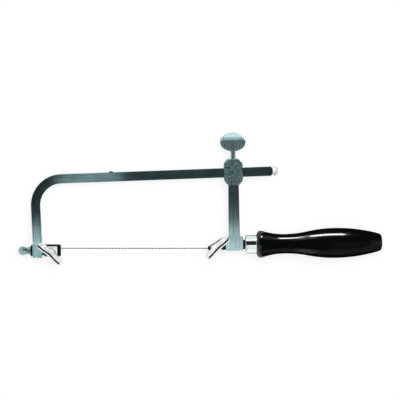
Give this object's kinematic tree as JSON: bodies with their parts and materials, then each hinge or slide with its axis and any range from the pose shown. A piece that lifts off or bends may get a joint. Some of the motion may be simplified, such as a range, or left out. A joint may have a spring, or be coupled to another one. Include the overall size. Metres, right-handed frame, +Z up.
{
  "type": "fret saw frame",
  "caption": "Adjustable fret saw with a bent bar frame, sliding rear arm, wing screw blade clamps, front tension screw, fitted blade and turned black wooden handle.",
  "frame": {"origin": "under the middle of the whole saw's bounding box, on the surface that the saw lies on", "axes": "+X along the blade towards the handle, +Y from the blade towards the top bar, +Z up, the way the wing screws face"},
  "size_m": [0.2842, 0.1022, 0.0249],
  "materials": {
    "nickel_steel": "satin nickel plate",
    "bright_nickel": "bright nickel plate",
    "cast_nickel": "nickel-plated casting, slightly mottled",
    "dark_steel": "blackened",
    "blade_steel": "hardened and ground",
    "shoe_brass": "turned",
    "black_lacquer": "glossy black lacquer"
  },
  "bodies": {
    "frame": {"frame_bow": "nickel_steel", "bar_stop_pin": "dark_steel", "bar_end_screw": "bright_nickel", "tension_washer": "dark_steel"},
    "tension_screw": {"tension_screw": "nickel_steel"},
    "front_jaw": {"front_jaw": "dark_steel", "front_guide_pin": "nickel_steel"},
    "front_plate": {"front_clamp_plate": "bright_nickel"},
    "front_wing": {"front_clamp_stud": "nickel_steel", "front_wing": "bright_nickel"},
    "slide": {"slide_block": "cast_nickel", "arm_rivet": "nickel_steel", "rear_arm": "nickel_steel", "rear_guide_pin": "nickel_steel", "ferrule": "bright_nickel", "handle": "black_lacquer", "blade": "blade_steel"},
    "rear_plate": {"rear_clamp_plate": "bright_nickel"},
    "rear_wing": {"rear_clamp_stud": "nickel_steel", "rear_wing": "bright_nickel"},
    "shoe": {"pressure_shoe": "shoe_brass"},
    "thumbscrew": {"thumbscrew": "nickel_steel"}
  },
  "joints": [
    {"name": "tension_turn", "type": "hinge", "parent": "frame", "child": "tension_screw", "pos_m": [-0.1385, -0.04147, 0.01172], "axis": [1, 0, 0], "range_deg": [-1260, 540]},
    {"name": "front_jaw_slide", "type": "slide", "parent": "frame", "child": "front_jaw", "axis": [1, 0, 0], "range_m": [-0.00104, 0.00244]},
    {"name": "front_plate_lift", "type": "slide", "parent": "front_jaw", "child": "front_plate", "axis": [0, 0, 1], "range_m": [0, 0.00141]},
    {"name": "front_wing_turn", "type": "hinge", "parent": "front_plate", "child": "front_wing", "pos_m": [-0.1169, -0.04253, 0.01415], "axis": [0, 0, 1], "range_deg": [0, 720]},
    {"name": "arm_slide", "type": "slide", "parent": "frame", "child": "slide", "axis": [0.9993, 0.0366, 0], "range_m": [-0.002, 0.0225]},
    {"name": "rear_plate_lift", "type": "slide", "parent": "slide", "child": "rear_plate", "axis": [0, 0, 1], "range_m": [0, 0.00141]},
    {"name": "rear_wing_turn", "type": "hinge", "parent": "rear_plate", "child": "rear_wing", "pos_m": [0.01352, -0.03779, 0.01415], "axis": [0, 0, 1], "range_deg": [0, 720]},
    {"name": "shoe_lift", "type": "slide", "parent": "slide", "child": "shoe", "axis": [-0.0175, 0.9998, 0], "range_m": [0, 0.00141]},
    {"name": "thumbscrew_turn", "type": "hinge", "parent": "shoe", "child": "thumbscrew", "pos_m": [0.0254, 0.04376, 0.01172], "axis": [-0.0175, 0.9998, 0], "range_deg": [0, 720]}
  ],
  "couplings": [
    {"joint": "tension_turn", "follows": "front_jaw_slide", "rad_per_m": -8976},
    {"joint": "front_plate_lift", "follows": "front_wing_turn", "m_per_rad": 0.00011141},
    {"joint": "rear_plate_lift", "follows": "rear_wing_turn", "m_per_rad": 0.00011141},
    {"joint": "shoe_lift", "follows": "thumbscrew_turn", "m_per_rad": 0.00011141}
  ]
}
